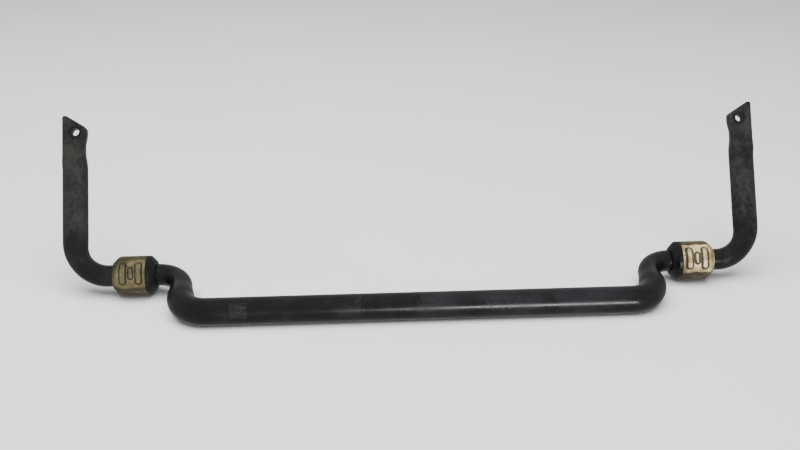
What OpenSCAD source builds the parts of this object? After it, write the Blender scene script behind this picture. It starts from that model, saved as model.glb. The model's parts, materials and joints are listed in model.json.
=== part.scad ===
// Front stabiliser bar for a car: one bent steel tube, a bonded rubber
// bushing in two pressed steel half shells near each end, and two arms
// that end in flattened, drilled and trimmed paddles.
// It stands on its centre tube and on both bushings, with the arms rising
// and leaning back. X runs along the bar, Z is up, and the origin is on the
// ground under the middle of the whole part.

/* [Centre tube] */
// Outside diameter of the centre tube
centre_d = 34; // [30:0.5:42]
// Wall of the centre tube
centre_wall = 4.5; // [3:0.1:6]
// Straight length of the centre tube
centre_len = 528; // [400:1:700]

/* [Cranks] */
// Distance between the centre tube's axis and the bushing axis
crank_offset = 87; // [72:1:130]
// How far each crank turns away from the bar's own line, in degrees
crank_angle = 84; // [70:1:88]
// Bend radius of the tube's axis in the cranks
crank_bend_r = 34; // [28:1:46]

/* [Bushing seats] */
// Outside diameter of the bar in the bushings
seat_d = 28; // [23:0.5:34]
// Wall of the bar in the bushings
seat_wall = 6; // [4:0.1:8]
// Straight length of a seat that shows inboard of its bushing
seat_inboard = 1; // [0.5:0.5:20]
// Straight length of a seat that shows outboard of its bushing
seat_outboard = 8; // [1:0.5:20]

/* [Arms] */
// Bend radius of the tube's axis where the arm leaves its bushing
arm_bend_r = 43; // [35:1:60]
// How far the arm's bend turns, in degrees
arm_turn = 89; // [75:1:92]
// Slope of the arms above the ground when the bar stands, in degrees
arm_slope = 58; // [48:1:68]
// Length of the arm from the end of its bend to the link hole
arm_len = 148; // [120:1:200]
// Width of the squeezed arm, in the plane of both arms
arm_w = 33; // [28:0.5:40]
// Thickness of the squeezed arm
arm_t = 22; // [18:0.5:27]
// Least wall of the squeezed arm
arm_wall = 4; // [3:0.1:6]
// Length over which the round tube becomes the squeezed arm
arm_blend = 40; // [30:1:60]

/* [Paddles] */
// Thickness of the flat paddle
paddle_t = 12; // [9:0.5:16]
// Width of the paddle at its link hole
paddle_w = 32; // [27:0.5:40]
// How far the paddle's inboard side is set in below the hole
paddle_neck = 2.5; // [0:0.5:5]
// Flat length from the link hole back to the arm
paddle_back = 26; // [21:1:34]
// Length over which the arm is pressed down to the paddle
paddle_blend = 26; // [16:1:36]
// Length from the link hole to the tip
tip_over = 22; // [18:0.5:30]
// Slope of the trimmed end, in degrees
tip_slope = 33; // [10:1:40]
// Corner radius at the low end of the trimmed edge
tip_corner_r = 8.5; // [3:0.5:10.5]
// Diameter of the link hole
link_hole_d = 10.4; // [8:0.1:15]
// How far the link hole lies inboard of the arm's axis
link_hole_in = 1.5; // [0:0.1:3]

/* [Bushings] */
// Thickness of the rubber between the bar and the half shells
rubber_wall = 9.4; // [8:0.1:14]
// Sheet thickness of the half shells
shell_t = 1.6; // [1.2:0.1:2.5]
// Length of a half shell along the bar
shell_len = 43; // [35:1:55]
// Height and length of the drawn-in lip at a shell's outer end
shell_lip = 7; // [4:0.5:8.5]
// How far the raised pads stand above the ledges beside the seams
pad_step = 1.2; // [0.8:0.1:1.6]
// Angle that a raised pad covers, in degrees
pad_angle = 102; // [80:1:130]
// Width of the seam between the two half shells
seam_gap = 1.6; // [1:0.1:4]
// Width of the seam between the two rubber halves
rubber_seam = 0.4; // [0.2:0.1:1]
// Direction that the upper pad faces, above the horizon, in degrees
pad_turn = 32; // [0:1:60]
// Length of the bare rubber collar beside a shell
collar_len = 4.5; // [3:0.5:16]
// Height and length of the collar's tapered end
collar_taper = 7; // [4:0.5:8.5]
// Radial clearance between the rubber and the bar
seat_clearance = 0.05; // [0.02:0.01:0.1]

/* [Embossing] */
// Width of a raised rib
rib_w = 8; // [5:0.5:10]
// Angle that a rib covers from end to end, in degrees
rib_angle = 62; // [40:1:78]
// Distance between the two ribs of a half shell
rib_pitch = 20; // [16:0.5:24]
// Height of a rib above its pad
rib_h = 1.3; // [0.6:0.1:2]
// Width of the boss between the ribs
boss_w = 6; // [4:0.5:8]
// Angle that the boss covers from end to end, in degrees
boss_angle = 33; // [20:1:50]
// Height of the boss above its pad
boss_h = 0.7; // [0.4:0.1:1.5]

/* [Hidden] */
$fn = 96;

// Tube sizes
centre_r = centre_d / 2;
centre_bore_r = centre_r - centre_wall;
seat_r = seat_d / 2;
seat_bore_r = seat_r - seat_wall;
arm_bore_r = min(seat_bore_r, arm_t / 2 - arm_wall);

// Crank, in its own plane: x runs along the bar and y from the centre tube
// to the bushing. The straight leg makes up what the two bends leave.
centre_half = centre_len / 2;
leg_len = (crank_offset - 2 * crank_bend_r * (1 - cos(crank_angle))) / sin(crank_angle);
leg_start = [
    centre_half + crank_bend_r * sin(crank_angle),
    crank_bend_r * (1 - cos(crank_angle))
];
leg_end = leg_start + leg_len * [cos(crank_angle), sin(crank_angle)];
seat_x0 = leg_end.x + crank_bend_r * sin(crank_angle);

// Bushing, from its collar's nose to its shells' lip
bushing_len = collar_taper + collar_len + shell_len;
seat_len = seat_inboard + bushing_len + seat_outboard;
seat_x1 = seat_x0 + seat_len;
bushing_x = seat_x0 + seat_inboard;
rubber_bore_r = seat_r + seat_clearance;
rubber_r = seat_r + rubber_wall;
shell_r = rubber_r + shell_t;
pad_r = shell_r + pad_step;
rib_r = pad_r + rib_h;
boss_r = pad_r + boss_h;
// The pad's side walls are as thick as its sheet
pad_wall_turn = shell_t / shell_r * 180 / PI;
shell_z0 = collar_taper + collar_len;
// The ribs and the boss lie about the middle of the straight part of the shell
emboss_z = shell_z0 + (shell_len - shell_lip) / 2;

// Arm, in the plane of both arms: x is outboard and y away from the bushings.
// The bend stays round over its first half and is squeezed from there on.
bend_end = [
    seat_x1 + arm_bend_r * sin(arm_turn),
    arm_bend_r * (1 - cos(arm_turn))
];
arm_run = [cos(arm_turn), sin(arm_turn)];
round_turn = arm_turn / 2;
squeeze_arc = arm_bend_r * (arm_turn - round_turn) * PI / 180;
arm_bore_len = arm_len - paddle_back - paddle_blend;
loft_sides = 36;
// Pieces that run on into each other lap a little, one just inside the other
lap = 0.5;
skin = 0.05;
loft_sink = 3;

// How the part stands: what reaches lowest under a bushing, the lower
// half's ledge, pad or ribs, rests on the ground beside the centre tube
down_turn = 90 - pad_turn;
function reach_down(r, half_angle) = r * cos(max(0, down_turn - half_angle));
axle_z = max(
    shell_r,
    reach_down(pad_r, pad_angle / 2),
    reach_down(boss_r, boss_angle / 2),
    reach_down(rib_r, rib_angle / 2)
);
crank_slope = asin((axle_z - centre_r) / crank_offset);
tip_reach = bend_end.y + (arm_len + tip_over) * sin(arm_turn);
depth_front = crank_offset * cos(crank_slope) + centre_r;
depth_back = tip_reach * cos(arm_slope) + paddle_t / 2 * sin(arm_slope);
axle_y = (depth_front - depth_back) / 2;

// 0 to 1 with a soft start and end
function ease(x) = let (c = min(1, max(0, x))) c * c * (3 - 2 * c);
function mix(a, b, x) = a + (b - a) * x;
// A point on a rounded rectangle: power 2 is an ellipse, more is squarer
function rounded(a, half_w, half_t, power) = [
    half_w * sign(cos(a)) * pow(abs(cos(a)), 2 / power),
    half_t * sign(sin(a)) * pow(abs(sin(a)), 2 / power)
];

// The arm's axis and its heading, a way s along it from the middle of its bend
function arm_heading(s) = min(arm_turn, round_turn + s / arm_bend_r * 180 / PI);
function arm_point(s) = s < squeeze_arc
    ? [seat_x1 + arm_bend_r * sin(arm_heading(s)), arm_bend_r * (1 - cos(arm_heading(s)))]
    : bend_end + (s - squeeze_arc) * arm_run;

// One ring of the squeezed arm
function arm_ring(s) = let (
    squeeze = ease(s / arm_blend),
    press = ease((s - squeeze_arc - arm_bore_len) / paddle_blend),
    half_w = mix(mix(seat_r, arm_w / 2, squeeze), (paddle_w - paddle_neck) / 2, press),
    half_t = mix(mix(seat_r, arm_t / 2, squeeze), paddle_t / 2, press),
    power = mix(2, 6, press),
    out = [sin(arm_heading(s)), -cos(arm_heading(s))],
    middle = arm_point(s) + press * paddle_neck / 2 * out
) [for (i = [0 : loft_sides - 1])
    let (q = rounded(360 * i / loft_sides, half_w - skin, half_t - skin, power))
    [middle.x + q.x * out.x, middle.y + q.x * out.y, q.y]
];

// Outline of the paddle about the arm's axis beside the link hole:
// x is outboard and y towards the tip
function paddle_outline() = let (
    half = paddle_w / 2,
    trim = 2,
    land = [half - trim - 4, tip_over],
    corner_x = tip_corner_r - half,
    corner_y = land.y + ((corner_x - land.x) * sin(tip_slope) - tip_corner_r) / cos(tip_slope),
    steps = 8
) concat(
    [[half, -paddle_back], [half, tip_over - trim], [half - trim, tip_over], land],
    [for (i = [0 : steps]) let (a = mix(90 + tip_slope, 180, i / steps))
        [corner_x + tip_corner_r * cos(a), corner_y + tip_corner_r * sin(a)]],
    [
        [-half, -paddle_back * 0.2],
        [paddle_neck - half, -paddle_back * 0.65],
        [paddle_neck - half, -paddle_back]
    ]
);

// Closed solid through a list of rings
module loft(rings) {
    sides = len(rings[0]);
    last = len(rings) - 1;
    side_faces = [for (r = [0 : last - 1], i = [0 : sides - 1]) let (j = (i + 1) % sides) each [
        [r * sides + i, r * sides + j, (r + 1) * sides + j],
        [r * sides + i, (r + 1) * sides + j, (r + 1) * sides + i]
    ]];
    polyhedron(
        points = [for (ring = rings) each ring],
        faces = concat(
            [[for (i = [0 : sides - 1]) sides - 1 - i]],
            side_faces,
            [[for (i = [0 : sides - 1]) last * sides + i]]
        )
    );
}

// A straight piece of round bar in a plane, from a point along a heading
module rod(from, heading, length, r1, r2) {
    translate([from.x, from.y, 0])
        rotate([0, 90, heading])
            cylinder(h = length, r1 = r1, r2 = r2);
}

// A bend of round bar in a plane, about a centre and from one angle on
module bend(middle, bend_r, start, turn, r) {
    translate([middle.x, middle.y, 0])
        rotate([0, 0, start])
            rotate_extrude(angle = turn)
                translate([bend_r, 0])
                    circle(r);
}

// One crank: two bends, and between them the leg in which the tube is
// swaged down
module crank(big_r, small_r) {
    leg_run = [cos(crank_angle), sin(crank_angle)];
    bend([centre_half, crank_bend_r], crank_bend_r, -90, crank_angle, big_r);
    rod(leg_start - lap * leg_run, crank_angle, leg_len + 2 * lap, big_r - skin, small_r + skin);
    bend([seat_x0, crank_offset - crank_bend_r], crank_bend_r, 90, crank_angle, small_r);
}

// Flat paddle with its trimmed end and link hole
module paddle() {
    hole = bend_end + arm_len * arm_run;
    translate([hole.x, hole.y, 0])
        rotate([0, 0, arm_turn - 90])
            difference() {
                translate([0, 0, -paddle_t / 2])
                    linear_extrude(paddle_t)
                        polygon(paddle_outline());
                translate([-link_hole_in, 0, -paddle_t])
                    cylinder(h = 2 * paddle_t, d = link_hole_d);
            }
}

// Squeezed arm, from inside the round half of the bend to inside the paddle
module squeezed_arm() {
    straight = arm_bore_len + paddle_blend + loft_sink;
    bend_steps = 6;
    arm_steps = 21;
    loft(concat(
        [arm_ring(-loft_sink)],
        [for (i = [0 : bend_steps - 1]) arm_ring(squeeze_arc * i / bend_steps)],
        [for (i = [0 : arm_steps]) arm_ring(squeeze_arc + straight * i / arm_steps)]
    ));
}

// Children, drawn for the right-hand side, put on one side of the bar
module on_side(side) {
    if (side > 0) children();
    else mirror([1, 0, 0]) children();
}

module in_crank_plane() {
    translate([0, axle_y - crank_offset * cos(crank_slope), centre_r])
        rotate([crank_slope, 0, 0])
            children();
}

module in_arm_plane() {
    translate([0, axle_y, axle_z])
        rotate([arm_slope, 0, 0])
            children();
}

// Outside of the whole bar
module bar_outside() {
    in_crank_plane() rod([-centre_half, 0], 0, centre_len, centre_r, centre_r);
    for (side = [-1, 1]) on_side(side) {
        in_crank_plane() crank(centre_r, seat_r - skin);
        in_arm_plane() {
            rod([seat_x0 - lap, 0], 0, seat_len + lap, seat_r, seat_r);
            bend([seat_x1, arm_bend_r], arm_bend_r, -90, round_turn, seat_r);
            squeezed_arm();
            paddle();
        }
    }
}

// Bore of the whole bar, closed where the arms are pressed flat
module bar_bore() {
    in_crank_plane() rod([-centre_half, 0], 0, centre_len, centre_bore_r, centre_bore_r);
    for (side = [-1, 1]) on_side(side) {
        in_crank_plane() crank(centre_bore_r, seat_bore_r - skin);
        in_arm_plane() {
            rod([seat_x0 - lap, 0], 0, seat_len + 2 * lap, seat_bore_r, seat_bore_r);
            bend([seat_x1, arm_bend_r], arm_bend_r, -90, arm_turn, arm_bore_r);
            rod(bend_end - lap * arm_run, arm_turn, arm_bore_len + lap, arm_bore_r + skin, arm_bore_r + skin);
        }
    }
}

module stabiliser_bar() {
    color("#2b2d30")
        difference() {
            bar_outside();
            bar_bore();
        }
}

// Children, drawn round the Z axis with a half's middle along X, put on the
// bushing axis: the upper half faces the pad's direction, the lower opposite
module in_bushing(side, lower) {
    on_side(side)
        translate([bushing_x, axle_y, axle_z])
            rotate([0, 90, 0])
                rotate([0, 0, (lower ? 180 : 0) + 180 + down_turn])
                    children();
}

// A sector of a turned shape, from one angle to another
module sector(from, to, profile) {
    rotate([0, 0, from])
        rotate_extrude(angle = to - from)
            polygon(profile);
}

// Turned outline of the rubber inside sheet of radius r
function rubber_profile(r) = [
    [rubber_bore_r, 0],
    [shell_r - collar_taper, 0],
    [shell_r, collar_taper],
    [shell_r, shell_z0],
    [r, shell_z0],
    [r, bushing_len - shell_lip - shell_t * tan(22.5)],
    [r - shell_lip - shell_t * tan(22.5), bushing_len],
    [rubber_bore_r, bushing_len]
];

// Turned outline of sheet from radius inner to radius outer, with its lip
function shell_profile(inner, outer) = [
    [inner, shell_z0],
    [outer, shell_z0],
    [outer, bushing_len - shell_lip],
    [outer - shell_lip, bushing_len],
    [inner - shell_lip - shell_t * tan(22.5), bushing_len],
    [inner, bushing_len - shell_lip - shell_t * tan(22.5)]
];

// One rubber half, which fills its half shell and the hollow under the pad
module rubber_half(side, lower) {
    half = 90 - asin(rubber_seam / 2 / rubber_bore_r);
    hollow = pad_angle / 2 - pad_wall_turn;
    color("#1b1b1d")
        in_bushing(side, lower) {
            sector(-half, half, rubber_profile(rubber_r));
            sector(-hollow, hollow, rubber_profile(rubber_r + pad_step));
        }
}

// A raised strip that runs some way round the bar
module raised_strip(z, width, angle, r) {
    sink = shell_t / 2;
    sector(-angle / 2, angle / 2, [
        [pad_r - sink, z - width / 2],
        [r, z - width / 2],
        [r, z + width / 2],
        [pad_r - sink, z + width / 2]
    ]);
}

// Turned outline of the hollow that the pad's sheet leaves behind it, open
// towards the rubber and past both ends
function hollow_profile() = let (
    r = rubber_r + pad_step,
    inner = r - 2 * pad_step - 1,
    lip_start = bushing_len - shell_lip - shell_t * tan(22.5),
    past = 1.5 * shell_lip
) [
    [inner, shell_z0 - 1],
    [r, shell_z0 - 1],
    [r, lip_start],
    [r - past, lip_start + past],
    [inner - past, lip_start + past],
    [inner, lip_start]
];

// One pressed half shell: ledges beside the seams, a raised pad, two ribs
// and a boss between them
module shell_half(side, lower) {
    half = 90 - asin(seam_gap / 2 / shell_r);
    pad_half = pad_angle / 2;
    hollow = pad_half - pad_wall_turn;
    color("#b9a662")
        in_bushing(side, lower) {
            difference() {
                union() {
                    sector(-half, half, shell_profile(rubber_r, shell_r));
                    sector(-pad_half, pad_half, shell_profile(rubber_r, pad_r));
                }
                sector(-hollow, hollow, hollow_profile());
            }
            for (place = [-1, 1])
                raised_strip(emboss_z + place * rib_pitch / 2, rib_w, rib_angle, rib_r);
            raised_strip(emboss_z, boss_w, boss_angle, boss_r);
        }
}

stabiliser_bar();
rubber_half(-1, false);  // left_upper_rubber
rubber_half(-1, true);  // left_lower_rubber
shell_half(-1, false);  // left_upper_shell
shell_half(-1, true);  // left_lower_shell
rubber_half(1, false);  // right_upper_rubber
rubber_half(1, true);  // right_lower_rubber
shell_half(1, false);  // right_upper_shell
shell_half(1, true);  // right_lower_shell
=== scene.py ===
"""A worn front stabiliser bar with bonded bushings, dressed on its CAD frame."""

import json
import logging
import math
from dataclasses import dataclass, field
from enum import Enum

import bmesh
import bpy
import numpy as np
from mathutils import Matrix, Vector


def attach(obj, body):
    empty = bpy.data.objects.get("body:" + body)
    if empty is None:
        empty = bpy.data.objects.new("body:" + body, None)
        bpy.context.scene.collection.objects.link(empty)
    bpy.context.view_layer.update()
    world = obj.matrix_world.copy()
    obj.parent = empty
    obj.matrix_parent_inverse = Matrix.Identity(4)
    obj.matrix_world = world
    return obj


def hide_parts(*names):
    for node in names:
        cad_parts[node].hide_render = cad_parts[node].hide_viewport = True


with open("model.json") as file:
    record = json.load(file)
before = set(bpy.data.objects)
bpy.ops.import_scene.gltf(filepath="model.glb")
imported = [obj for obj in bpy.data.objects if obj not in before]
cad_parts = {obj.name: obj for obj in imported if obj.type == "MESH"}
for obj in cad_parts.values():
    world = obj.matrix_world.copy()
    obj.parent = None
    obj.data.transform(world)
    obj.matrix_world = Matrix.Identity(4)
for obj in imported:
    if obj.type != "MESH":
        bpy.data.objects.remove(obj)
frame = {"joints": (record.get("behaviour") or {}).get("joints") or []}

LOG = logging.getLogger("stabiliser_bar")
Colour = tuple[float, float, float]


class Side(Enum):
    """The two ends of the bar."""

    LEFT = -1
    RIGHT = 1

    @property
    def word(self) -> str:
        """The side's name as the CAD nodes spell it."""
        return self.name.lower()


class Half(Enum):
    """The two halves of a bushing, by the way their pads face."""

    UPPER = 0
    LOWER = 180

    @property
    def word(self) -> str:
        """The half's name as the CAD nodes spell it."""
        return self.name.lower()


# --- Small geometry helpers ---------------------------------------------------


def ease(x: np.ndarray | float) -> np.ndarray | float:
    """Rise from 0 to 1 with a soft start and end.

    Args:
        x: How far along the rise, clamped to 0..1.

    Returns:
        The eased share.
    """
    c = np.clip(x, 0.0, 1.0)
    return c * c * (3.0 - 2.0 * c)


def mix(a: float, b: float, share: float) -> float:
    """Blend two numbers by a share."""
    return a + (b - a) * share


def new_object(name: str, mesh: bpy.types.Mesh) -> bpy.types.Object:
    """Put a mesh into the scene as an object at the origin.

    Args:
        name: The object's name.
        mesh: Its mesh, already in place in the row frame.

    Returns:
        The linked object.
    """
    piece = bpy.data.objects.new(name, mesh)
    bpy.context.scene.collection.objects.link(piece)
    return piece


def mesh_of(name: str, points: np.ndarray, faces: list[tuple[int, ...]]) -> bpy.types.Mesh:
    """Build a smooth-shaded mesh with merged doubles and outward faces.

    Args:
        name: The mesh's name.
        points: Its vertices, one row each.
        faces: Its faces as rows of vertex numbers.

    Returns:
        The finished mesh.
    """
    mesh = bpy.data.meshes.new(name)
    mesh.from_pydata([tuple(p) for p in points], [], faces)
    work = bmesh.new()
    work.from_mesh(mesh)
    bmesh.ops.remove_doubles(work, verts=work.verts, dist=1e-6)
    bmesh.ops.recalc_face_normals(work, faces=work.faces)
    for face in work.faces:
        face.smooth = True
    work.to_mesh(mesh)
    work.free()
    return mesh


def loft(rings: list[np.ndarray]) -> tuple[np.ndarray, list[tuple[int, ...]]]:
    """Join rings of points into a closed tube with flat ends.

    Args:
        rings: Arrays of points, all of one length.

    Returns:
        The points and the faces.
    """
    sides, last = len(rings[0]), len(rings) - 1
    faces = [
        (r * sides + i, r * sides + (i + 1) % sides, (r + 1) * sides + (i + 1) % sides, (r + 1) * sides + i)
        for r in range(last)
        for i in range(sides)
    ]
    faces.append(tuple(reversed(range(sides))))
    faces.append(tuple(last * sides + i for i in range(sides)))
    return np.vstack(rings), faces


def apply_modifiers(piece: bpy.types.Object) -> None:
    """Turn an object's evaluated shape into its plain mesh and drop its modifiers.

    Args:
        piece: The object to convert.
    """
    graph = bpy.context.evaluated_depsgraph_get()
    done = bpy.data.meshes.new_from_object(piece.evaluated_get(graph))
    piece.modifiers.clear()
    piece.data = done


def rounded_corners(corners: list[tuple[float, float, float]], steps: int = 6) -> np.ndarray:
    """Replace each corner of an open outline by an arc.

    Args:
        corners: Rows of x, y and the radius at that corner (0 keeps it sharp).
        steps: Arc segments per rounded corner.

    Returns:
        The outline's points.
    """
    points = []
    for i, (x, y, radius) in enumerate(corners):
        here = np.array([x, y])
        if radius <= 0.0 or i in (0, len(corners) - 1):
            points.append(here)
            continue
        back = np.array(corners[i - 1][:2]) - here
        ahead = np.array(corners[i + 1][:2]) - here
        back, ahead = back / np.linalg.norm(back), ahead / np.linalg.norm(ahead)
        half_angle = math.acos(float(np.clip(back @ ahead, -1.0, 1.0))) / 2.0
        reach = radius / math.tan(half_angle)
        bisector = (back + ahead) / np.linalg.norm(back + ahead)
        middle = here + bisector * radius / math.sin(half_angle)
        start, end = here + back * reach - middle, here + ahead * reach - middle
        a0, a1 = math.atan2(start[1], start[0]), math.atan2(end[1], end[0])
        turn = (a1 - a0 + math.pi) % (2.0 * math.pi) - math.pi
        points += [
            middle + radius * np.array([math.cos(a0 + turn * k / steps), math.sin(a0 + turn * k / steps)])
            for k in range(steps + 1)
        ]
    return np.array(points)


# --- Node trees -----------------------------------------------------------------


class NodeNetwork:
    """Adds nodes to a node tree and links them in one call."""

    def __init__(self, tree: bpy.types.NodeTree) -> None:
        """Keep the tree that the nodes go into."""
        self.tree = tree

    def node(self, kind: str, settings: dict | None = None, **inputs) -> bpy.types.Node:
        """Add a node.

        Args:
            kind: Its type name.
            settings: Its own properties.
            **inputs: Its sockets by name, as values or as other nodes' outputs.

        Returns:
            The node.
        """
        made = self.tree.nodes.new(kind)
        for key, value in (settings or {}).items():
            setattr(made, key, value)
        for key, value in inputs.items():
            self.join(value, made.inputs[key.replace("_", " ")])
        return made

    def join(self, value, socket: bpy.types.NodeSocket) -> None:
        """Link an output to a socket, or set the socket's value.

        Args:
            value: An output socket or a plain value.
            socket: The input to feed.
        """
        if isinstance(value, bpy.types.NodeSocket):
            self.tree.links.new(value, socket)
        else:
            socket.default_value = value

    def math(self, operation: str, a, b=0.0, clamp: bool = False) -> bpy.types.NodeSocket:
        """Add a Math node and return its output."""
        made = self.node("ShaderNodeMath", {"operation": operation, "use_clamp": clamp})
        self.join(a, made.inputs[0])
        self.join(b, made.inputs[1])
        return made.outputs[0]

    def rise(self, value, low, high, to_low=0.0, to_high=1.0) -> bpy.types.NodeSocket:
        """Map a value smoothly from one range to another, clamped."""
        made = self.node("ShaderNodeMapRange", {"interpolation_type": "SMOOTHSTEP"})
        for socket, number in zip(made.inputs, (value, low, high, to_low, to_high)):
            self.join(number, socket)
        return made.outputs[0]

    def plus(self, a, b) -> bpy.types.NodeSocket:
        """The sum of two values."""
        return self.math("ADD", a, b)

    def minus(self, a, b) -> bpy.types.NodeSocket:
        """The first value less the second."""
        return self.math("SUBTRACT", a, b)

    def times(self, a, b) -> bpy.types.NodeSocket:
        """The product of two values."""
        return self.math("MULTIPLY", a, b)


class Painter(NodeNetwork):
    """A material, painted node by node."""

    def __init__(self, name: str) -> None:
        """Start an empty node material.

        Args:
            name: The material's name.
        """
        self.material = bpy.data.materials.new(name)
        self.material.use_nodes = True
        super().__init__(self.material.node_tree)
        self.tree.nodes.clear()
        self.shader = self.tree.nodes.new("ShaderNodeBsdfPrincipled")
        output = self.tree.nodes.new("ShaderNodeOutputMaterial")
        self.tree.links.new(self.shader.outputs[0], output.inputs["Surface"])
        self.coords = self.tree.nodes.new("ShaderNodeTexCoord").outputs["Object"]
        self.axes = self.node("ShaderNodeSeparateXYZ", Vector=self.coords)

    def noise(
        self,
        scale: float,
        detail: float = 4.0,
        rough: float = 0.55,
        stretch: tuple[float, ...] = (1.0, 1.0, 1.0),
        turn: tuple[float, ...] = (0.0, 0.0, 0.0),
    ) -> bpy.types.NodeSocket:
        """Add a noise over the object's own space.

        Args:
            scale: Noise cells per metre.
            detail: Octaves.
            rough: How strong the fine octaves are.
            stretch: Scale along each axis before the noise.
            turn: Rotation of the space before the noise, in radians.

        Returns:
            The noise's factor output.
        """
        place = self.node("ShaderNodeMapping", Vector=self.coords)
        place.inputs["Scale"].default_value = stretch
        place.inputs["Rotation"].default_value = turn
        space = place.outputs[0]
        made = self.node("ShaderNodeTexNoise", Vector=space, Scale=scale, Detail=detail, Roughness=rough)
        return made.outputs["Fac"]

    def blend(self, share, a, b) -> bpy.types.NodeSocket:
        """Mix two colours, given as sockets or as RGB triples."""
        made = self.node("ShaderNodeMix", {"data_type": "RGBA"})
        self.join(share, made.inputs[0])
        for socket, colour in ((made.inputs[6], a), (made.inputs[7], b)):
            self.join(colour if isinstance(colour, bpy.types.NodeSocket) else (*colour, 1.0), socket)
        return made.outputs[2]

    def slab(self, value, middle: float, half: float, soft: float) -> bpy.types.NodeSocket:
        """A mask that is 1 within half of middle and fades over soft."""
        away = self.math("ABSOLUTE", self.minus(value, middle))
        return self.rise(away, half, half + soft, 1.0, 0.0)

    def bump(self, height, distance: float, strength: float = 1.0, under=None) -> bpy.types.NodeSocket:
        """Add a Bump node over an earlier normal and return the new normal."""
        made = self.node("ShaderNodeBump", Height=height, Distance=distance, Strength=strength)
        if under is not None:
            self.join(under, made.inputs["Normal"])
        return made.outputs[0]


# --- Finishes ---------------------------------------------------------------------


@dataclass(frozen=True)
class WornPaint:
    """Black chassis paint on the bar, dusty on its arms and rubbed in use."""

    crank_x: float
    arm_z: float
    holes: tuple[tuple[float, float, float], ...]
    paint: Colour = (0.0040, 0.0041, 0.0047)
    haze: Colour = (0.0105, 0.0112, 0.0134)
    dust: Colour = (0.0300, 0.0288, 0.0255)
    rubbed: Colour = (0.0330, 0.0340, 0.0350)
    bare: Colour = (0.13, 0.13, 0.125)
    residue: Colour = (0.045, 0.038, 0.029)
    # Dark colour for oil and for the painted shade on the cranks
    oil_and_shade: Colour = (0.0028, 0.0028, 0.0028)
    label_at: tuple[float, float] = (-0.2225, 0.0235)
    label_half: tuple[float, float] = (0.0095, 0.0075)
    clamped: tuple[float, float] = (0.0105, 0.0135)

    def make(self) -> bpy.types.Material:
        """Build the material.

        Returns:
            The finished material.
        """
        p = Painter("worn_black_paint")
        x, z = p.axes.outputs[0], p.axes.outputs[2]
        across = p.math("ABSOLUTE", x)
        # Dust settles on the arms and thins out towards the cranks
        arms = p.rise(z, self.arm_z, self.arm_z + 0.03)
        broad = p.noise(30.0, 6.0, 0.68, stretch=(1.0, 1.0, 0.6))
        fine = p.noise(210.0, 6.0, 0.7)
        film = p.plus(p.times(arms, 0.16), p.times(broad, 0.72))
        film = p.rise(p.plus(film, p.times(fine, 0.46)), 0.60, 0.92)
        colour = p.blend(p.rise(p.noise(13.0, 4.0, 0.6), 0.42, 0.66), self.paint, self.haze)
        colour = p.blend(p.times(film, 0.80), colour, self.dust)
        # Rubbed streaks run along the tube and up the arms
        streaks = p.noise(70.0, 5.0, 0.72, stretch=(0.14, 1.0, 1.0))
        upright = p.noise(85.0, 6.0, 0.75, stretch=(1.0, 0.3, 0.2), turn=(0.4, 0.25, 0.0))
        level = p.rise(streaks, 0.60, 0.76)
        rubbed = p.math("MAXIMUM", level, p.times(arms, p.rise(upright, 0.56, 0.74)))
        colour = p.blend(p.times(rubbed, 0.55), colour, self.rubbed)
        # A browned patch where a paper label has come off
        patch_x = p.slab(x, self.label_at[0], self.label_half[0], 0.0015)
        patch_z = p.slab(z, self.label_at[1], self.label_half[1], 0.002)
        ragged = p.rise(p.noise(240.0, 6.0, 0.75), 0.38, 0.66)
        patch = p.times(p.times(patch_x, patch_z), ragged)
        colour = p.blend(p.times(patch, 0.45), colour, self.residue)
        # Small chips down to grey primer
        chosen = p.rise(p.noise(34.0, 3.0, 0.6, turn=(0.5, 0.0, 0.3)), 0.52, 0.64)
        chips = p.times(p.rise(p.noise(380.0, 4.0, 0.72, turn=(0.2, 0.7, 0.0)), 0.66, 0.71), chosen)
        chips = p.times(chips, p.rise(across, self.crank_x - 0.02, self.crank_x + 0.1))
        colour = p.blend(p.times(chips, 0.8), colour, self.bare)
        # Painted shade with oily dirt on the cranks next to the bushings, and black rings where the drop links
        # were clamped
        crank_shade_and_oil = p.slab(across, self.crank_x, 0.030, 0.020)
        oil_and_shade = p.times(crank_shade_and_oil, p.rise(p.noise(40.0, 4.0, 0.6), 0.34, 0.58))
        for hole in self.holes:
            away = p.node("ShaderNodeVectorMath", {"operation": "DISTANCE"})
            p.join(p.coords, away.inputs[0])
            away.inputs[1].default_value = hole
            near = p.plus(away.outputs["Value"], p.times(p.noise(150.0, 3.0, 0.6), 0.006))
            oil_and_shade = p.math("MAXIMUM", oil_and_shade, p.rise(near, *self.clamped, 1.0, 0.0))
        colour = p.blend(p.times(oil_and_shade, 0.85), colour, self.oil_and_shade)
        p.join(colour, p.shader.inputs["Base Color"])
        gloss = p.rise(p.noise(26.0, 4.0, 0.6), 0.3, 0.7, 0.20, 0.34)
        matt = p.plus(gloss, p.times(film, 0.28))
        matt = p.plus(matt, p.times(patch, 0.25))
        scratches = p.noise(900.0, 3.0, 0.7, stretch=(0.05, 1.0, 1.0), turn=(0.0, 0.0, 0.06))
        matt = p.math("ADD", matt, p.times(p.rise(scratches, 0.60, 0.72), 0.16), clamp=True)
        p.join(matt, p.shader.inputs["Roughness"])
        normal = p.bump(p.noise(420.0, 3.0, 0.5), 0.00012, 0.5)
        normal = p.bump(scratches, 0.00008, 0.5, normal)
        normal = p.bump(film, 0.00025, 0.6, normal)
        normal = p.bump(chips, -0.0003, 0.8, normal)
        p.join(normal, p.shader.inputs["Normal"])
        p.shader.inputs["Specular IOR Level"].default_value = 0.42
        p.shader.inputs["Coat Weight"].default_value = 0.10
        p.shader.inputs["Coat Roughness"].default_value = 0.2
        return p.material


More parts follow.
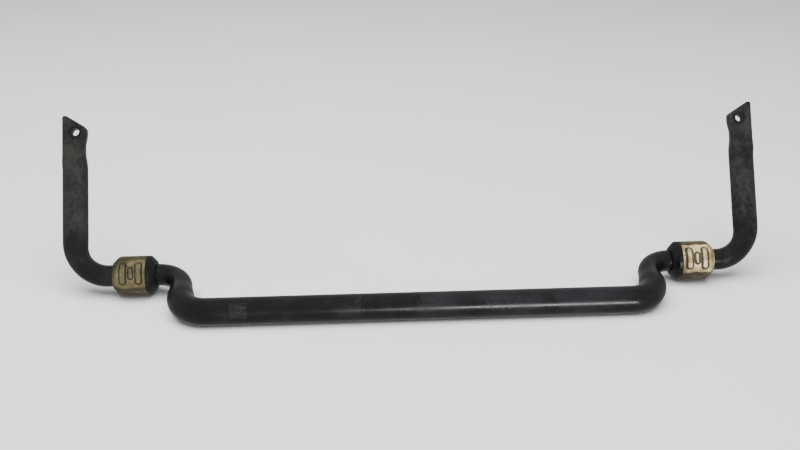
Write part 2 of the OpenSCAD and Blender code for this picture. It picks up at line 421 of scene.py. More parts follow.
@dataclass(frozen=True)
class YellowZinc:
    """Yellow-passivated zinc on pressed sheet, dulled and grimy by its own amount, with painted shade at its rib
    feet.
    """

    name: str
    bright: Colour
    dull: Colour
    # Dark colour for grime and for the painted shade at the rib feet
    grime_and_crease_shade: Colour = (0.016, 0.012, 0.007)
    dirt: float = 0.5
    outline_from: float = 0.70
    roughness: float = 0.42
    green: Colour = (0.34, 0.36, 0.20)
    pink: Colour = (0.46, 0.27, 0.17)

    def make(self) -> bpy.types.Material:
        """Build the material.

        Returns:
            The finished material.
        """
        p = Painter(self.name)
        broad = p.noise(48.0, 4.0, 0.6)
        fine = p.noise(260.0, 5.0, 0.65)
        colour = p.blend(p.rise(broad, 0.36, 0.64), self.bright, self.dull)
        # The passivation's iridescence drifts between green and pink
        greenish = p.rise(p.noise(90.0, 2.0, 0.5), 0.50, 0.72)
        colour = p.blend(p.times(greenish, 0.25), colour, self.green)
        pinkish = p.rise(p.noise(75.0, 2.0, 0.5, turn=(1.0, 0.4, 0.0)), 0.54, 0.74)
        colour = p.blend(p.times(pinkish, 0.22), colour, self.pink)
        colour = p.blend(p.times(p.rise(fine, 0.52, 0.72), 0.35), colour, self.dull)
        # Painted shade darkens what is pressed in: the foot of each rib and the pad's edges
        hollow = p.node("ShaderNodeAttribute", {"attribute_name": "hollow"}).outputs["Fac"]
        ragged = p.plus(hollow, p.times(p.minus(p.noise(170.0, 4.0, 0.65), 0.5), 0.7))
        painted_crease_shade = p.rise(ragged, self.outline_from, self.outline_from + 0.10)
        # Grime gathers along the seams, away from the middle of the pad
        edge = p.node("ShaderNodeAttribute", {"attribute_name": "edge"}).outputs["Fac"]
        patchy = p.plus(edge, p.times(p.minus(p.noise(80.0, 5.0, 0.65), 0.5), 1.5))
        smear = p.rise(patchy, 0.38, 0.50)
        # One dark mask for grime on the seams, grime spots and the painted crease shade
        grime_and_shade = p.math("MAXIMUM", painted_crease_shade, p.times(smear, self.dirt), clamp=True)
        spots = p.times(p.rise(p.noise(150.0, 4.0, 0.7), 0.58, 0.68), self.dirt)
        grime_and_shade = p.math("MAXIMUM", grime_and_shade, spots, clamp=True)
        colour = p.blend(p.times(grime_and_shade, 0.94), colour, self.grime_and_crease_shade)
        p.join(colour, p.shader.inputs["Base Color"])
        p.join(p.rise(grime_and_shade, 0.0, 1.0, 0.40, 0.05), p.shader.inputs["Metallic"])
        sheen = p.rise(fine, 0.3, 0.7, self.roughness - 0.08, self.roughness + 0.10)
        rough = p.plus(sheen, p.times(grime_and_shade, 0.3))
        p.join(rough, p.shader.inputs["Roughness"])
        normal = p.bump(fine, 0.00018, 0.5)
        normal = p.bump(p.noise(1100.0, 2.0, 0.5), 0.00006, 0.5, normal)
        normal = p.bump(grime_and_shade, 0.0002, 0.5, normal)
        p.join(normal, p.shader.inputs["Normal"])
        return p.material


@dataclass(frozen=True)
class BushingRubber:
    """Black moulded rubber with a slight bloom and a dusty collar."""

    black: Colour = (0.0035, 0.0035, 0.0038)
    bloom: Colour = (0.012, 0.0125, 0.014)

    def make(self) -> bpy.types.Material:
        """Build the material.

        Returns:
            The finished material.
        """
        p = Painter("bushing_rubber")
        cloud = p.noise(60.0, 5.0, 0.6)
        grain = p.noise(900.0, 3.0, 0.6)
        share = p.times(p.rise(cloud, 0.42, 0.72), p.rise(grain, 0.2, 0.8, 0.6, 1.0))
        p.join(p.blend(p.times(share, 0.7), self.black, self.bloom), p.shader.inputs["Base Color"])
        p.join(p.rise(cloud, 0.3, 0.7, 0.34, 0.62), p.shader.inputs["Roughness"])
        normal = p.bump(grain, 0.0001, 0.6)
        normal = p.bump(p.noise(140.0, 2.0, 0.5), 0.0004, 0.4, normal)
        p.join(normal, p.shader.inputs["Normal"])
        p.shader.inputs["Specular IOR Level"].default_value = 0.4
        return p.material


@dataclass(frozen=True)
class StudioFloor:
    """A plain pale floor with the faintest mottle."""

    pale: Colour = (0.93, 0.93, 0.93)
    shade: Colour = (0.90, 0.90, 0.90)

    def make(self) -> bpy.types.Material:
        """Build the material.

        Returns:
            The finished material.
        """
        p = Painter("studio_floor")
        colour = p.blend(p.rise(p.noise(3.0, 2.0, 0.5), 0.3, 0.7), self.pale, self.shade)
        p.join(colour, p.shader.inputs["Base Color"])
        p.shader.inputs["Roughness"].default_value = 0.9
        p.shader.inputs["Specular IOR Level"].default_value = 0.2
        return p.material


# --- Geometry Nodes -----------------------------------------------------------------


class ShapeTree(NodeNetwork):
    """A Geometry Nodes group with named inputs, built node by node."""

    def __init__(self, name: str, inputs: dict[str, str]) -> None:
        """Start a group.

        Args:
            name: The group's name.
            inputs: Socket types by input name, besides the geometry and the finish.
        """
        self.group = bpy.data.node_groups.new(name, "GeometryNodeTree")
        super().__init__(self.group)
        self.group.is_modifier = True
        make = self.group.interface.new_socket
        make("Geometry", in_out="OUTPUT", socket_type="NodeSocketGeometry")
        make("Geometry", in_out="INPUT", socket_type="NodeSocketGeometry")
        for label, kind in inputs.items():
            make(label, in_out="INPUT", socket_type=kind)
        make("Finish", in_out="INPUT", socket_type="NodeSocketMaterial")
        self.source = self.group.nodes.new("NodeGroupInput")

    def given(self, name: str) -> bpy.types.NodeSocket:
        """The group input of this name."""
        return self.source.outputs[name]

    def mix(self, a, b, share) -> bpy.types.NodeSocket:
        """Blend two floats by a share."""
        return self.plus(a, self.times(self.minus(b, a), share))

    def vector(self, operation: str, a, b=None, scale=None) -> bpy.types.NodeSocket:
        """Add a Vector Math node and return its output."""
        made = self.node("ShaderNodeVectorMath", {"operation": operation})
        self.join(a, made.inputs[0])
        if b is not None:
            self.join(b, made.inputs[1])
        if scale is not None:
            self.join(scale, made.inputs["Scale"])
        return made.outputs[0]

    def attribute(self, name: str, kind: str = "FLOAT") -> bpy.types.NodeSocket:
        """Read a named attribute."""
        made = self.node("GeometryNodeInputNamedAttribute", {"data_type": kind}, Name=name)
        return made.outputs["Attribute"]

    def finish(self, geometry: bpy.types.NodeSocket) -> None:
        """Realize the geometry, give it its finish and send it out."""
        real = self.node("GeometryNodeRealizeInstances", Geometry=geometry).outputs[0]
        dressed = self.node("GeometryNodeSetMaterial", Geometry=real, Material=self.given("Finish"))
        self.join(dressed.outputs[0], self.group.nodes.new("NodeGroupOutput").inputs[0])

    def shape(self, piece: bpy.types.Object, values: dict[str, float], finish: bpy.types.Material) -> None:
        """Run the tree on a piece and keep the result as its plain mesh.

        Args:
            piece: The object to shape.
            values: The tree's inputs by name.
            finish: The material that it sets.
        """
        modifier = piece.modifiers.new(self.group.name, "NODES")
        modifier.node_group = self.group
        for item in self.group.interface.items_tree:
            if item.item_type == "SOCKET" and item.in_out == "INPUT" and item.name != "Geometry":
                modifier[item.identifier] = finish if item.name == "Finish" else values[item.name]
        apply_modifiers(piece)


def swept_tube() -> ShapeTree:
    """A tube swept along a path, whose section is told by shares on the path.

    Returns:
        The tree. The path's points carry the shares swaged, squeezed, pressed,
        flared and open, and the section's two directions out and flat.
    """
    lengths = (
        "Centre radius", "Seat radius", "Arm half width", "Arm half thickness",
        "Neck half width", "Paddle half width", "Paddle half thickness", "Neck offset",
    )
    tree = ShapeTree("swept_tube", {"Sides": "NodeSocketInt"} | {name: "NodeSocketFloat" for name in lengths})
    path = tree.given("Geometry")
    count = tree.node("GeometryNodeAttributeDomainSize", Geometry=path).outputs["Point Count"]
    around = tree.plus(tree.given("Sides"), 1.0)
    grid = tree.node("GeometryNodeMeshGrid", Vertices_X=count, Vertices_Y=around).outputs["Mesh"]
    index = tree.node("GeometryNodeInputIndex").outputs[0]
    ring = tree.math("FLOOR", tree.math("DIVIDE", tree.plus(index, 0.5), around))
    # The grid's last column lies on its first
    column = tree.math("MODULO", tree.minus(index, tree.times(ring, around)), tree.given("Sides"))
    angle = tree.times(column, tree.math("DIVIDE", math.tau, tree.given("Sides")))

    def along(value: bpy.types.NodeSocket, kind: str) -> bpy.types.NodeSocket:
        """What the path has at this ring."""
        settings = {"data_type": kind, "domain": "POINT"}
        made = tree.node("GeometryNodeSampleIndex", settings, Geometry=path, Index=ring)
        tree.join(value, made.inputs["Value"])
        return made.outputs[0]

    stages = ("swaged", "squeezed", "pressed", "flared", "open")
    share = {name: along(tree.attribute(name), "FLOAT") for name in stages}
    place = along(tree.node("GeometryNodeInputPosition").outputs[0], "FLOAT_VECTOR")
    out = along(tree.attribute("out", "FLOAT_VECTOR"), "FLOAT_VECTOR")
    flat = along(tree.attribute("flat", "FLOAT_VECTOR"), "FLOAT_VECTOR")
    tube = tree.mix(tree.given("Centre radius"), tree.given("Seat radius"), share["swaged"])
    half_w = tree.mix(tube, tree.given("Arm half width"), share["squeezed"])
    half_w = tree.mix(half_w, tree.given("Neck half width"), share["pressed"])
    half_w = tree.mix(half_w, tree.given("Paddle half width"), share["flared"])
    half_t = tree.mix(tube, tree.given("Arm half thickness"), share["squeezed"])
    half_t = tree.mix(half_t, tree.given("Paddle half thickness"), share["pressed"])
    # Round while it is tube, a soft rectangle where it is pressed flat
    exponent = tree.math("DIVIDE", 2.0, tree.mix(2.0, 7.0, share["pressed"]))

    def reach(function: str, half: bpy.types.NodeSocket) -> bpy.types.NodeSocket:
        """How far the section reaches along one of its directions."""
        turn = tree.math(function, angle)
        size = tree.math("MAXIMUM", tree.minus(tree.math("ABSOLUTE", turn), 1e-6), 0.0)
        grown = tree.math("POWER", size, exponent)
        signed = tree.times(tree.math("SIGN", turn), grown)
        return tree.times(tree.times(signed, half), share["open"])

    offset = tree.times(tree.given("Neck offset"), tree.minus(share["pressed"], share["flared"]))
    sideways = tree.vector("SCALE", out, scale=tree.plus(reach("COSINE", half_w), offset))
    upwards = tree.vector("SCALE", flat, scale=reach("SINE", half_t))
    spot = tree.vector("ADD", place, tree.vector("ADD", sideways, upwards))
    tube_mesh = tree.node("GeometryNodeSetPosition", Geometry=grid, Position=spot).outputs[0]
    welded = tree.node("GeometryNodeMergeByDistance", Geometry=tube_mesh, Distance=5e-6).outputs[0]
    tree.finish(tree.node("GeometryNodeSetShadeSmooth", Geometry=welded).outputs[0])
    return tree


def pressed_sheet() -> ShapeTree:
    """Sheet pressed out into a pad with two ribs and an oval boss between them.

    Returns:
        The tree. The sheet's points carry around (radians), along (metres),
        skin (1 outside, 0 inside) and their radial direction, and it leaves
        two masks for the finish: painted shade at the foot of what is raised,
        and edge towards the seams.
    """
    numbers = (
        "Radius", "Middle", "Pad step", "Pad angle", "Pad wall angle", "Rib width", "Rib pitch", "Rib angle",
        "Rib height", "Boss width", "Boss angle", "Boss height", "Edge softness", "Crease shade width",
    )
    tree = ShapeTree("pressed_sheet", {name: "NodeSocketFloat" for name in numbers})
    around = tree.math("ABSOLUTE", tree.attribute("around"))
    along = tree.minus(tree.attribute("along"), tree.given("Middle"))
    arc = tree.times(around, tree.given("Radius"))

    def from_edge(middle, width, angle) -> bpy.types.NodeSocket:
        """How far a point is outside a strip with round ends, negative inside it."""
        half = tree.math("DIVIDE", width, 2.0)
        straight = tree.minus(tree.times(tree.math("DIVIDE", angle, 2.0), tree.given("Radius")), half)
        past = tree.math("MAXIMUM", tree.minus(arc, straight), 0.0)
        across = tree.minus(along, middle)
        squared = tree.plus(tree.times(past, past), tree.times(across, across))
        return tree.minus(tree.math("SQRT", squared), half)

    half_pitch = tree.math("DIVIDE", tree.given("Rib pitch"), 2.0)
    ribs = [
        from_edge(tree.times(half_pitch, way), tree.given("Rib width"), tree.given("Rib angle"))
        for way in (-1.0, 1.0)
    ]
    rib_edge = tree.math("MINIMUM", *ribs)
    boss_edge = from_edge(0.0, tree.given("Boss width"), tree.given("Boss angle"))
    soft = tree.times(tree.given("Edge softness"), -1.0)
    rib = tree.times(tree.rise(rib_edge, soft, 0.0, 1.0, 0.0), tree.given("Rib height"))
    boss = tree.times(tree.rise(boss_edge, soft, 0.0, 1.0, 0.0), tree.given("Boss height"))
    half_pad = tree.math("DIVIDE", tree.given("Pad angle"), 2.0)
    pad_foot = tree.minus(half_pad, tree.given("Pad wall angle"))
    pad = tree.times(tree.rise(around, pad_foot, half_pad, 1.0, 0.0), tree.given("Pad step"))
    raised = tree.times(tree.math("MAXIMUM", rib, boss), tree.attribute("skin"))
    lift = tree.vector("SCALE", tree.attribute("radial", "FLOAT_VECTOR"), scale=tree.plus(pad, raised))
    sheet = tree.node("GeometryNodeSetPosition", Geometry=tree.given("Geometry"), Offset=lift).outputs[0]
    foot = tree.math("ABSOLUTE", tree.math("MINIMUM", rib_edge, boss_edge))
    step = tree.math("ABSOLUTE", tree.minus(arc, tree.times(half_pad, tree.given("Radius"))))
    # Painted crease shade: 1 at the foot, 0 the given width away
    nearest = tree.math("DIVIDE", tree.math("MINIMUM", foot, step), tree.given("Crease shade width"))
    hollow = tree.math("MAXIMUM", tree.minus(1.0, nearest), 0.0)
    edge = tree.rise(around, tree.times(half_pad, 0.66), tree.times(half_pad, 1.05))
    settings = {"data_type": "FLOAT", "domain": "POINT"}
    for name, value in (("hollow", hollow), ("edge", edge)):
        stored = tree.node("GeometryNodeStoreNamedAttribute", settings, Geometry=sheet, Name=name, Value=value)
        sheet = stored.outputs[0]
    tree.finish(tree.node("GeometryNodeSetShadeSmooth", Geometry=sheet).outputs[0])
    return tree


def outward(mesh: bpy.types.Mesh) -> bpy.types.Mesh:
    """Merge a mesh's doubles, turn its faces outwards and mark its sharp edges."""
    work = bmesh.new()
    work.from_mesh(mesh)
    bmesh.ops.remove_doubles(work, verts=work.verts, dist=1e-6)
    bmesh.ops.recalc_face_normals(work, faces=work.faces)
    for face in work.faces:
        face.smooth = True
    work.to_mesh(mesh)
    work.free()
    mesh.set_sharp_from_angle(angle=math.radians(42.0))
    return mesh


def give_attributes(mesh: bpy.types.Mesh, values: dict[str, np.ndarray]) -> None:
    """Store point attributes on a mesh.

    Args:
        mesh: The mesh.
        values: Arrays by attribute name: one number or one vector per point.
    """
    for name, array in values.items():
        vector = array.ndim == 2
        layer = mesh.attributes.new(name, "FLOAT_VECTOR" if vector else "FLOAT", "POINT")
        flat = np.ascontiguousarray(array, dtype=np.float32).ravel()
        layer.data.foreach_set("vector" if vector else "value", flat)


# --- The bar --------------------------------------------------------------------------


@dataclass
class StabiliserBar:
    """The bent, swaged and flattened tube, with its sizes as the CAD has them."""

    axle_y: float
    axle_z: float
    centre_r: float = 0.017
    centre_len: float = 0.528
    crank_offset: float = 0.087
    crank_angle: float = math.radians(84.0)
    crank_bend_r: float = 0.034
    seat_r: float = 0.014
    seat_len: float = 0.0635
    arm_bend_r: float = 0.043
    arm_turn: float = math.radians(89.0)
    arm_slope: float = math.radians(58.0)
    arm_len: float = 0.148
    arm_half_w: float = 0.0165
    arm_half_t: float = 0.011
    arm_blend: float = 0.040
    paddle_w: float = 0.032
    paddle_t: float = 0.012
    paddle_neck: float = 0.0025
    paddle_back: float = 0.026
    paddle_blend: float = 0.026
    tip_over: float = 0.022
    tip_slope: float = math.radians(33.0)
    tip_corner_r: float = 0.0085
    tip_trim: float = 0.002
    tip_land: float = 0.004
    hole_d: float = 0.0104
    hole_in: float = 0.0015
    sides: int = 72
    edge_round: float = 0.0007
    path: list[tuple] = field(default_factory=list)

    @property
    def leg(self) -> tuple[Vector, Vector]:
        """Both ends of the crank's straight leg, in the crank's plane."""
        turned = self.crank_bend_r * (1.0 - math.cos(self.crank_angle))
        length = (self.crank_offset - 2.0 * turned) / math.sin(self.crank_angle)
        start = Vector((self.centre_len / 2.0 + self.crank_bend_r * math.sin(self.crank_angle), turned))
        return start, start + length * Vector((math.cos(self.crank_angle), math.sin(self.crank_angle)))

    @property
    def seat_x(self) -> tuple[float, float]:
        """Where the bushing seat starts and ends."""
        start = self.leg[1].x + self.crank_bend_r * math.sin(self.crank_angle)
        return start, start + self.seat_len

    @property
    def bend_end(self) -> Vector:
        """Where the arm leaves its bend, in the arms' plane."""
        return Vector((
            self.seat_x[1] + self.arm_bend_r * math.sin(self.arm_turn),
            self.arm_bend_r * (1.0 - math.cos(self.arm_turn)),
        ))

    def station(self, x: float, y: float, heading: float, slope: float, **shares: float) -> None:
        """Add a point of the right-hand half of the path.

        Args:
            x: Outboard distance.
            y: Distance from the bushing axis in the plane of this stretch.
            heading: The tube's direction in that plane, from outboard.
            slope: The plane's tilt from level.
            **shares: The section's shares that aren't 0.
        """
        flat = Vector((0.0, -math.sin(slope), math.cos(slope)))
        up = Vector((0.0, math.cos(slope), math.sin(slope)))
        place = Vector((x, self.axle_y, self.axle_z)) + float(y) * up
        out = Vector((math.sin(heading), 0.0, 0.0)) - math.cos(heading) * up
        self.path.append((place, out, flat, shares))

    def lay_path(self) -> None:
        """Lay the right-hand half of the path from the middle to the tip."""
        crank_slope = math.asin((self.axle_z - self.centre_r) / self.crank_offset)
        half, offset, bend_r = self.centre_len / 2.0, -self.crank_offset, self.crank_bend_r
        start, end = self.leg
        for x in np.linspace(0.0, half, 14):
            self.station(x, offset, 0.0, crank_slope)
        for a in np.linspace(0.0, self.crank_angle, 22)[1:]:
            self.station(half + bend_r * math.sin(a), offset + bend_r * (1.0 - math.cos(a)), a, crank_slope)
        for share in (0.15, 0.35, 0.5, 0.65, 0.85, 1.0):
            spot = start.lerp(end, share)
            self.station(spot.x, offset + spot.y, self.crank_angle, crank_slope, swaged=float(ease(share)))
        for a in np.linspace(self.crank_angle, 0.0, 22)[1:]:
            self.station(
                self.seat_x[0] - bend_r * math.sin(a), -bend_r * (1.0 - math.cos(a)), a, crank_slope, swaged=1.0
            )
        for share in np.linspace(0.0, 1.0, 16)[1:]:
            slope = mix(crank_slope, self.arm_slope, float(ease(share)))
            self.station(mix(*self.seat_x, share), 0.0, 0.0, slope, swaged=1.0)
        squeeze_start = self.arm_turn / 2.0
        bend_r = self.arm_bend_r
        for a in np.linspace(0.0, self.arm_turn, 34)[1:]:
            squeezed = float(ease((a - squeeze_start) * bend_r / self.arm_blend))
            x, y = self.seat_x[1] + bend_r * math.sin(a), bend_r * (1.0 - math.cos(a))
            self.station(x, y, a, self.arm_slope, swaged=1.0, squeezed=squeezed)
        bent = (self.arm_turn - squeeze_start) * bend_r
        for way in np.linspace(0.0, self.arm_len + self.tip_over + 0.006, 120)[1:]:
            back = way - self.arm_len
            pressed = float(ease((back + self.paddle_back + self.paddle_blend) / self.paddle_blend))
            flared = float(ease((back + self.paddle_back * 0.75) / (self.paddle_back * 0.65)))
            x = self.bend_end.x + way * math.cos(self.arm_turn)
            y = self.bend_end.y + way * math.sin(self.arm_turn)
            squeezed = float(ease((bent + way) / self.arm_blend))
            self.station(
                x, y, self.arm_turn, self.arm_slope, swaged=1.0, squeezed=squeezed, pressed=pressed, flared=flared
            )

    def path_object(self) -> bpy.types.Object:
        """The whole path from tip to tip as a line of points with its shares.

        Returns:
            The object, whose two end points are closed.
        """
        right = self.path
        left = [
            (Vector((-p.x, p.y, p.z)), Vector((-o.x, o.y, o.z)), f, s) for p, o, f, s in reversed(right[1:])
        ]
        whole = [left[0], *left, *right, right[-1]]
        mesh = bpy.data.meshes.new("bar_path")
        mesh.from_pydata([tuple(s[0]) for s in whole], [(i, i + 1) for i in range(len(whole) - 1)], [])
        values = {
            name: np.array([s[3].get(name, 0.0) for s in whole])
            for name in ("swaged", "squeezed", "pressed", "flared")
        }
        values["open"] = np.array([0.0] + [1.0] * (len(whole) - 2) + [0.0])
        values["out"] = np.array([tuple(s[1]) for s in whole])
        values["flat"] = np.array([tuple(s[2]) for s in whole])
        give_attributes(mesh, values)
        return new_object("painted_bar", mesh)

    def in_arm_plane(
        self, side: Side, sideways: float, ahead: float, up: float
    ) -> tuple[float, float, float]:
        """A point given about the arm's axis beside the link hole.

        Args:
            side: The arm.
            sideways: Outboard of the arm's axis.
            ahead: Towards the tip.
            up: Above the arms' plane.

        Returns:
            The point in the row frame.
        """
        run = Vector((math.cos(self.arm_turn), math.sin(self.arm_turn)))
        spot = self.bend_end + float(self.arm_len + ahead) * run + float(sideways) * Vector((run.y, -run.x))
        cos, sin = math.cos(self.arm_slope), math.sin(self.arm_slope)
        return (
            side.value * spot.x,
            self.axle_y + spot.y * cos - up * sin,
            self.axle_z + spot.y * sin + up * cos,
        )

    def hole_centres(self) -> tuple[tuple[float, float, float], ...]:
        """Where both link holes come out on the arms' upper faces."""
        return tuple(self.in_arm_plane(side, -self.hole_in, 0.0, self.paddle_t / 2.0) for side in Side)

    def prism(self, name: str, side: Side, outline: np.ndarray) -> bpy.types.Object:
        """A closed cutter through the paddle.

        Args:
            name: The object's name.
            side: The arm that it cuts.
            outline: Rows of sideways and ahead.

        Returns:
            The cutter.
        """
        rings = [
            np.array([self.in_arm_plane(side, x, y, up) for x, y in outline])
            for up in (-self.paddle_t, self.paddle_t)
        ]
        return new_object(name, mesh_of(name, *loft(rings)))

    def tip_cutter(self, side: Side) -> bpy.types.Object:
        """What is trimmed off one tip."""
        half, over, trim = self.paddle_w / 2.0, self.tip_over, self.tip_trim
        land = half - trim - self.tip_land
        slope, radius, away = self.tip_slope, self.tip_corner_r, 0.02
        corner_x = radius - half
        corner_y = over + ((corner_x - land) * math.sin(slope) - radius) / math.cos(slope)
        arc = [
            (corner_x + radius * math.cos(a), corner_y + radius * math.sin(a))
            for a in np.linspace(math.pi / 2.0 + slope, math.pi, 12)
        ]
        outline = [
            (half + away, over - trim - away), (half, over - trim), (half - trim, over), (land, over), *arc
        ]
        outline += [(-half - away, corner_y), (-half - away, over + away), (half + away, over + away)]
        return self.prism("tip_cutter", side, np.array(outline))

    def hole_cutter(self, side: Side) -> bpy.types.Object:
        """The link hole of one arm."""
        turns = np.linspace(0.0, math.tau, 48, endpoint=False)
        outline = self.hole_d / 2.0 * np.column_stack((np.cos(turns), np.sin(turns)))
        return self.prism("hole_cutter", side, outline - np.array([self.hole_in, 0.0]))

    def build(self, finish: bpy.types.Material) -> bpy.types.Object:
        """Sweep, trim, drill and dress the bar.

        Args:
            finish: Its paint.

        Returns:
            The finished object.
        """
        self.lay_path()
        bar = self.path_object()
        sizes = {
            "Sides": self.sides,
            "Centre radius": self.centre_r,
            "Seat radius": self.seat_r,
            "Arm half width": self.arm_half_w,
            "Arm half thickness": self.arm_half_t,
            "Neck half width": (self.paddle_w - self.paddle_neck) / 2.0,
            "Paddle half width": self.paddle_w / 2.0 - 0.00005,
            "Paddle half thickness": self.paddle_t / 2.0,
            "Neck offset": self.paddle_neck / 2.0,
        }
        swept_tube().shape(bar, sizes, finish)
        bar.data = outward(bar.data)
        cutters = [make(side) for side in Side for make in (self.tip_cutter, self.hole_cutter)]
        for cutter in cutters:
            cut = bar.modifiers.new(cutter.name, "BOOLEAN")
            cut.operation, cut.solver, cut.object = "DIFFERENCE", "EXACT", cutter
        soften = bar.modifiers.new("broken_edges", "BEVEL")
        soften.width, soften.segments, soften.angle_limit = self.edge_round, 3, math.radians(38.0)
        apply_modifiers(bar)
        for cutter in cutters:
            bpy.data.objects.remove(cutter)
        bar.data = outward(bar.data)
        bar.data.materials.clear()
        bar.data.materials.append(finish)
        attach(bar, "bar")
        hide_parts("stabiliser_bar")
        LOG.info("%s: %d faces", bar.name, len(bar.data.polygons))
        return bar


# --- The bushings ------------------------------------------------------------------------


@dataclass
class Bushing:
    """One bonded bushing: two rubber halves in two pressed half shells."""

    side: Side
    start_x: float
    axle_y: float
    axle_z: float
    zinc: bpy.types.Material
    rubber: bpy.types.Material
    bore_r: float = 0.01405
    rubber_r: float = 0.0234
    shell_t: float = 0.0016
    collar_taper: float = 0.007
    collar_len: float = 0.0045
    shell_len: float = 0.043
    shell_lip: float = 0.007
    seam_gap: float = 0.0016
    rubber_seam: float = 0.0004
    pad_turn: float = math.radians(32.0)
    pad_step: float = 0.0012
    pad_angle: float = math.radians(102.0)
    rib_w: float = 0.008
    rib_angle: float = math.radians(62.0)
    rib_pitch: float = 0.020
    rib_h: float = 0.0013
    boss_w: float = 0.006
    boss_angle: float = math.radians(33.0)
    boss_h: float = 0.0007

    @property
    def shell_z(self) -> float:
        """Where the shells start along the bushing."""
        return self.collar_taper + self.collar_len

    @property
    def length(self) -> float:
        """The bushing's whole length."""
        return self.shell_z + self.shell_len

    @property
    def shell_r(self) -> float:
        """The outside of the shells beside the pads."""
        return self.rubber_r + self.shell_t

    @property
    def pad_wall(self) -> float:
        """How far round the pad's side wall reaches."""
        return self.shell_t / self.shell_r

    def revolve(
        self, half: Half, outline: np.ndarray, reach: float, steps: int
    ) -> tuple[np.ndarray, list, dict]:
        """Turn an outline round the bushing axis through one half.

        Args:
            half: Which half.
            outline: Rows of radius and distance along the bushing.
            reach: How far it turns to each side of the half's middle.
            steps: Segments in the whole turn.

        Returns:
            The points, the faces, and the points' around, along and radial values.
        """
        turns = np.linspace(-reach, reach, steps + 1)
        base = math.radians(half.value) + 1.5 * math.pi - self.pad_turn
        rings, radial = [], []
        for turn in turns:
            way = np.array([0.0, math.sin(base + turn), -math.cos(base + turn)])
            axis = np.column_stack((
                self.side.value * (self.start_x + outline[:, 1]),
                np.full(len(outline), self.axle_y),
                np.full(len(outline), self.axle_z),
            ))
            rings.append(axis + outline[:, :1] * way)
            radial.append(np.tile(way, (len(outline), 1)))
        points, faces = loft(rings)
        values = {
            "around": np.repeat(turns, len(outline)),
            "along": np.tile(outline[:, 1], len(turns)),
            "radial": np.vstack(radial),
        }
        return points, faces, values

    def build_rubber(self, half: Half) -> bpy.types.Object:
        """One rubber half with its rounded collar."""
        outer, taper = self.shell_r, self.collar_taper
        knee = self.length - self.shell_lip - self.shell_t * math.tan(math.pi / 8.0)
        outline = rounded_corners([
            (self.bore_r, 0.0006, 0.0),
            (self.bore_r + 0.0006, 0.0, 0.0),
            (outer - taper, 0.0, 0.0012),
            (outer, taper, 0.0020),
            (outer, self.shell_z, 0.0),
            (self.rubber_r, self.shell_z, 0.0),
            (self.rubber_r, knee, 0.0),
            (self.rubber_r - (self.length - knee), self.length, 0.0009),
            (self.bore_r, self.length, 0.0),
        ])
        reach = math.pi / 2.0 - math.asin(self.rubber_seam / 2.0 / self.bore_r)
        points, faces, _ = self.revolve(half, outline, reach, 64)
        name = f"{self.side.word}_{half.word}_bonded_rubber"
        mesh = mesh_of(name, points, faces)
        mesh.set_sharp_from_angle(angle=math.radians(40.0))
        mesh.materials.append(self.rubber)
        return self.mount(new_object(name, mesh), f"{self.side.word}_{half.word}_rubber")

    def build_shell(self, half: Half, press: ShapeTree) -> bpy.types.Object:
        """One pressed half shell.

        Args:
            half: Which half.
            press: The tree that presses its pad, ribs and boss.

        Returns:
            The finished object.
        """
        outer, thick, lip, start, end = self.shell_r, self.shell_t, self.shell_lip, self.shell_z, self.length
        turn_in = thick * math.tan(math.pi / 8.0)
        outside = rounded_corners([
            (outer - thick / 2.0, start, 0.0),
            (outer, start, 0.0005),
            (outer, end - lip, 0.0085),
            (outer - lip, end, 0.0016),
            (outer - lip - thick / 2.0, end, 0.0),
        ], 8)
        inside = rounded_corners([
            (outer - lip - thick / 2.0, end, 0.0),
            (outer - thick - lip - turn_in, end, 0.0004),
            (outer - thick, end - lip - turn_in, 0.0065),
            (outer - thick, start, 0.0004),
            (outer - thick / 2.0, start, 0.0),
        ], 4)
        fine = self.divide(outside, 0.00045)
        skin = np.concatenate((np.ones(len(fine)), np.zeros(len(inside) - 2)))
        outline = np.vstack((fine, inside[1:-1]))
        reach = math.pi / 2.0 - math.asin(self.seam_gap / 2.0 / self.rubber_r)
        points, faces, values = self.revolve(half, outline, reach, 150)
        values["skin"] = np.tile(skin, 151)
        name = f"{self.side.word}_{half.word}_half_shell"
        mesh = bpy.data.meshes.new(name)
        mesh.from_pydata([tuple(p) for p in points], [], faces)
        give_attributes(mesh, values)
        shell = new_object(name, mesh)
        press.shape(shell, {
            "Radius": outer + self.pad_step,
            "Middle": start + (self.shell_len - lip) / 2.0,
            "Pad step": self.pad_step,
            "Pad angle": self.pad_angle,
            "Pad wall angle": self.pad_wall,
            "Rib width": self.rib_w,
            "Rib pitch": self.rib_pitch,
            "Rib angle": self.rib_angle,
            "Rib height": self.rib_h,
            "Boss width": self.boss_w,
            "Boss angle": self.boss_angle,
            "Boss height": self.boss_h,
            "Edge softness": 0.0011,
            "Crease shade width": 0.0030,
        }, self.zinc)
        shell.data = outward(shell.data)
        return self.mount(shell, f"{self.side.word}_{half.word}_shell")

    @staticmethod
    def divide(outline: np.ndarray, longest: float) -> np.ndarray:
        """Split an outline's segments until none is longer than a limit."""
        points = [outline[0]]
        for a, b in zip(outline[:-1], outline[1:]):
            parts = max(1, math.ceil(float(np.linalg.norm(b - a)) / longest))
            points += [a + (b - a) * k / parts for k in range(1, parts + 1)]
        return np.array(points)

    def mount(self, piece: bpy.types.Object, node: str) -> bpy.types.Object:
        """Put a piece on the bushing's body in place of its CAD node."""
        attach(piece, f"{self.side.word}_bushing")
        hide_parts(node)
        LOG.info("%s: %d faces", piece.name, len(piece.data.polygons))
        return piece

    def build(self, press: ShapeTree) -> None:
        """Build both rubber halves and both half shells."""
        for half in Half:
            self.build_rubber(half)
            self.build_shell(half, press)


# --- The studio ----------------------------------------------------------------------------


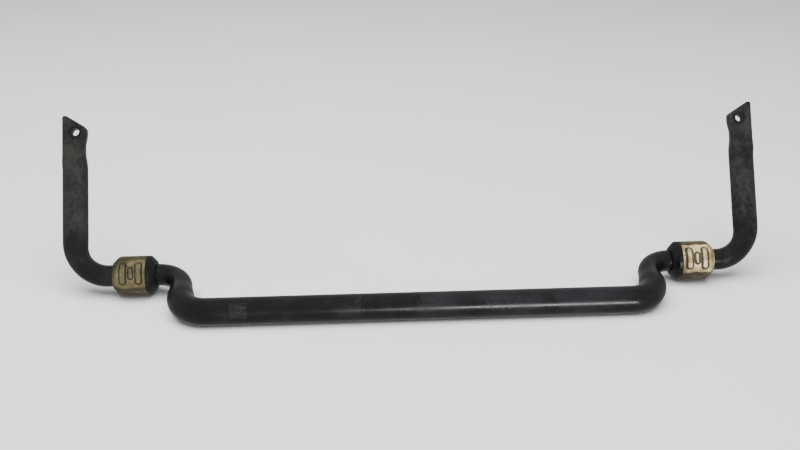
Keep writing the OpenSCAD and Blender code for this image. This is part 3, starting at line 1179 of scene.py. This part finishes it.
@dataclass
class Studio:
    """Pale floor, soft light and the camera."""

    floor_size: float = 12.0
    eye: tuple[float, float, float] = (-0.0719, -1.1759, 0.6148)
    forward: tuple[float, float, float] = (0.0400, 0.9109, -0.4108)
    up: tuple[float, float, float] = (0.0258, 0.4101, 0.9118)
    lens: float = 45.0
    world_light: float = 0.42

    def build(self) -> None:
        """Make everything that isn't part of the object."""
        self.lay_floor()
        self.light_sky()
        key = self.hang_softbox("overhead", (-0.2, -0.3, 2.2), (0.0, 0.0, 0.0), (3.2, 2.2), 120.0)
        key.visible_glossy = False
        self.hang_softbox("front", (0.51, -2.0, 0.10), (0.14, -0.1, 0.03), (0.75, 0.14), 17.0)
        self.place_camera()

    def lay_floor(self) -> None:
        """A large square under the object."""
        half = self.floor_size / 2.0
        mesh = bpy.data.meshes.new("floor")
        corners = [(-half, -half, 0), (half, -half, 0), (half, half, 0), (-half, half, 0)]
        mesh.from_pydata(corners, [], [(0, 1, 2, 3)])
        mesh.materials.append(StudioFloor().make())
        floor = new_object("floor", mesh)
        floor.visible_glossy = False

    def light_sky(self) -> None:
        """An even white surround."""
        world = bpy.data.worlds.new("studio")
        world.use_nodes = True
        background = world.node_tree.nodes["Background"]
        background.inputs["Color"].default_value = (1.0, 1.0, 1.0, 1.0)
        background.inputs["Strength"].default_value = self.world_light
        bpy.context.scene.world = world

    def hang_softbox(
        self, name: str, place, target, size: tuple[float, float], power: float
    ) -> bpy.types.Object:
        """Add a rectangular area light that faces a point.

        Args:
            name: The light's name.
            place: Where it hangs.
            target: What it faces.
            size: Its width and height.
            power: Its power in watts.

        Returns:
            The light's object.
        """
        light = bpy.data.lights.new(name, "AREA")
        light.shape, light.size, light.size_y, light.energy = "RECTANGLE", size[0], size[1], power
        box = bpy.data.objects.new(name, light)
        box.location = place
        box.rotation_euler = (Vector(target) - Vector(place)).to_track_quat("-Z", "Y").to_euler()
        bpy.context.scene.collection.objects.link(box)
        return box

    def place_camera(self) -> None:
        """Stand in front of the object, a little above it."""
        back = -Vector(self.forward).normalized()
        right = Vector(self.up).cross(back).normalized()
        up = back.cross(right)
        turn = Matrix((right, up, back)).transposed().to_4x4()
        data = bpy.data.cameras.new("camera")
        data.lens, data.sensor_width = self.lens, 36.0
        camera = bpy.data.objects.new("camera", data)
        camera.matrix_world = Matrix.Translation(Vector(self.eye)) @ turn
        bpy.context.scene.collection.objects.link(camera)
        bpy.context.scene.camera = camera


def main() -> None:
    """Build the dressed bar on its frame."""
    logging.basicConfig(level=logging.INFO, format="%(name)s %(message)s")
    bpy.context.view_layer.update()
    _, axle_y, axle_z = frame["joints"][0]["pos_m"]
    bar = StabiliserBar(axle_y, axle_z)
    bar.build(WornPaint(bar.leg[1].x, axle_z + 0.03, bar.hole_centres()).make())
    rubber = BushingRubber().make()
    press = pressed_sheet()
    zinc = {
        Side.LEFT: YellowZinc(
            "dull_yellow_zinc", (0.150, 0.126, 0.058), (0.048, 0.046, 0.026),
            dirt=0.70, outline_from=0.60, roughness=0.46,
        ).make(),
        Side.RIGHT: YellowZinc(
            "bright_yellow_zinc", (0.900, 0.740, 0.400), (0.220, 0.150, 0.062),
            dirt=0.98, outline_from=0.44, roughness=0.34,
        ).make(),
    }
    for side in Side:
        Bushing(side, bar.seat_x[0] + 0.001, axle_y, axle_z, zinc[side], rubber).build(press)
    Studio().build()


if __name__ == "__main__":
    main()
